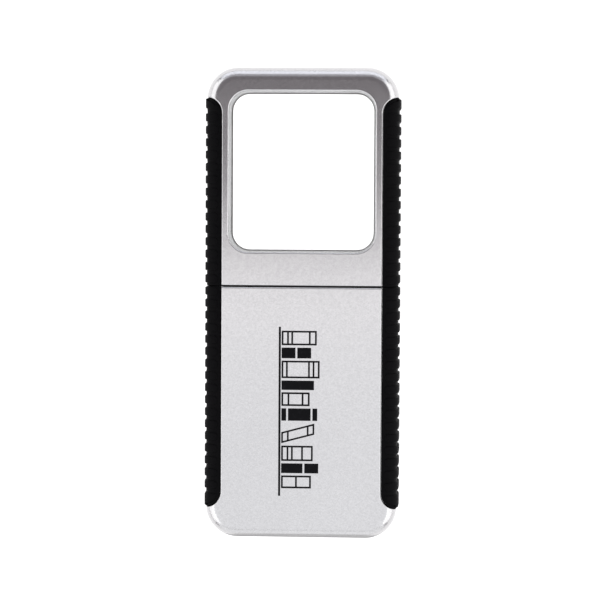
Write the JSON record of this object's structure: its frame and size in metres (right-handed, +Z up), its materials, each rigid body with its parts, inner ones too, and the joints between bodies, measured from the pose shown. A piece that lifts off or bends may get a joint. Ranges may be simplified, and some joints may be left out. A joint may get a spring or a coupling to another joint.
{
  "type": "magnifying glass",
  "caption": "Slim pocket magnifying glass: a rectangular lens head pulls straight out of a rubber-edged battery handle, which lights a lamp at its mouth.",
  "frame": {"origin": "middle of the flat back that it lies on, halfway along its closed length", "axes": "+X to the right seen from the front, +Y along it towards the lens head, +Z up out of the front face"},
  "size_m": [0.0456, 0.11, 0.0125],
  "materials": {
    "head_silver": "satin silver paint with a fine flake on moulded plastic",
    "handle_silver": "satin silver paint with a fine flake on moulded plastic",
    "grip_rubber": "matt black moulded rubber",
    "lens_acrylic": "clear polished acrylic",
    "gasket_foam": "grey closed-cell foam",
    "black_plastic": "fine moulded texture",
    "contact_metal": "sprung, plated",
    "screw_steel": "bright zinc",
    "board": "green solder mask",
    "lamp_epoxy": "clear epoxy",
    "tinned_wire": "tinned",
    "resistor_body": "lacquered",
    "cell_steel": "nickel plated"
  },
  "bodies": {
    "handle": {"handle_front_shell": "handle_silver", "handle_back_shell": "handle_silver", "handle_grip_left": "grip_rubber", "handle_grip_right": "grip_rubber", "case_screws": "screw_steel", "circuit_board": "board", "led_lamp": "lamp_epoxy", "led_leads": "tinned_wire", "led_holder": "black_plastic", "resistor": "resistor_body", "coin_cell": "cell_steel", "negative_contact": "contact_metal", "positive_contact": "contact_metal", "switch_contacts": "contact_metal"},
    "head": {"head_front_frame": "head_silver", "head_back_frame": "head_silver", "magnifying_lens": "lens_acrylic", "lens_gasket": "gasket_foam", "slide_tongue": "black_plastic", "switch_shunt": "contact_metal", "head_screws": "screw_steel", "head_grip_left": "grip_rubber", "head_grip_right": "grip_rubber"},
    "door": {"battery_door": "handle_silver"}
  },
  "joints": [
    {"name": "head_slide", "type": "slide", "parent": "handle", "child": "head", "axis": [0, 1, 0], "range_m": [0, 0.014]},
    {"name": "battery_door_slide", "type": "slide", "parent": "handle", "child": "door", "axis": [0, -1, 0], "range_m": [0, 0.028]}
  ]
}
